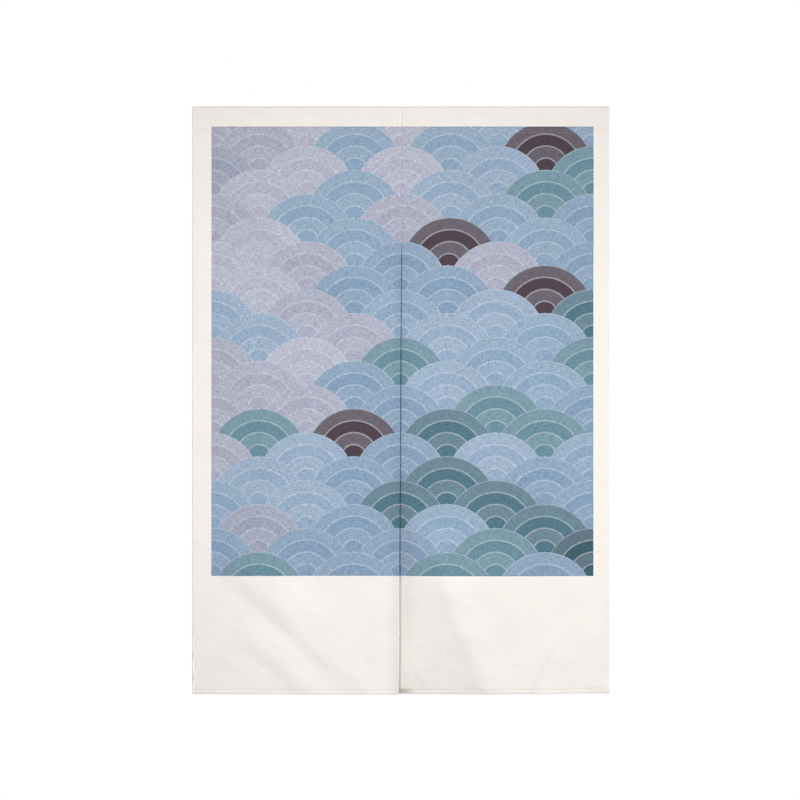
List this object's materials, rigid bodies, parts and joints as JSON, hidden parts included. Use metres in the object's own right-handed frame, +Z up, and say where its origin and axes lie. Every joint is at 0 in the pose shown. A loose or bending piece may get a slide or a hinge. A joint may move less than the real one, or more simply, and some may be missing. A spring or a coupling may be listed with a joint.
{
  "type": "noren curtain",
  "caption": "Split doorway curtain of two hanging cloth panels, joined at the top, with a rod pocket across the heading.",
  "frame": {"origin": "middle of the top edge, where the cloth lies over the rod", "axes": "+Z up, -Y towards the viewer of the printed front, +X along the top edge to the viewer's right"},
  "size_m": [0.85, 0.0219, 1.2],
  "materials": {
    "natural_cloth": "matt slubby plain weave, off-white",
    "printed_cloth": "matt slubby plain weave, off-white with a print in greyed blues, teal and lilac"
  },
  "bodies": {
    "root": {"left_heading": "natural_cloth", "left_panel": "printed_cloth", "right_heading": "natural_cloth", "right_panel": "printed_cloth"}
  },
  "joints": []
}
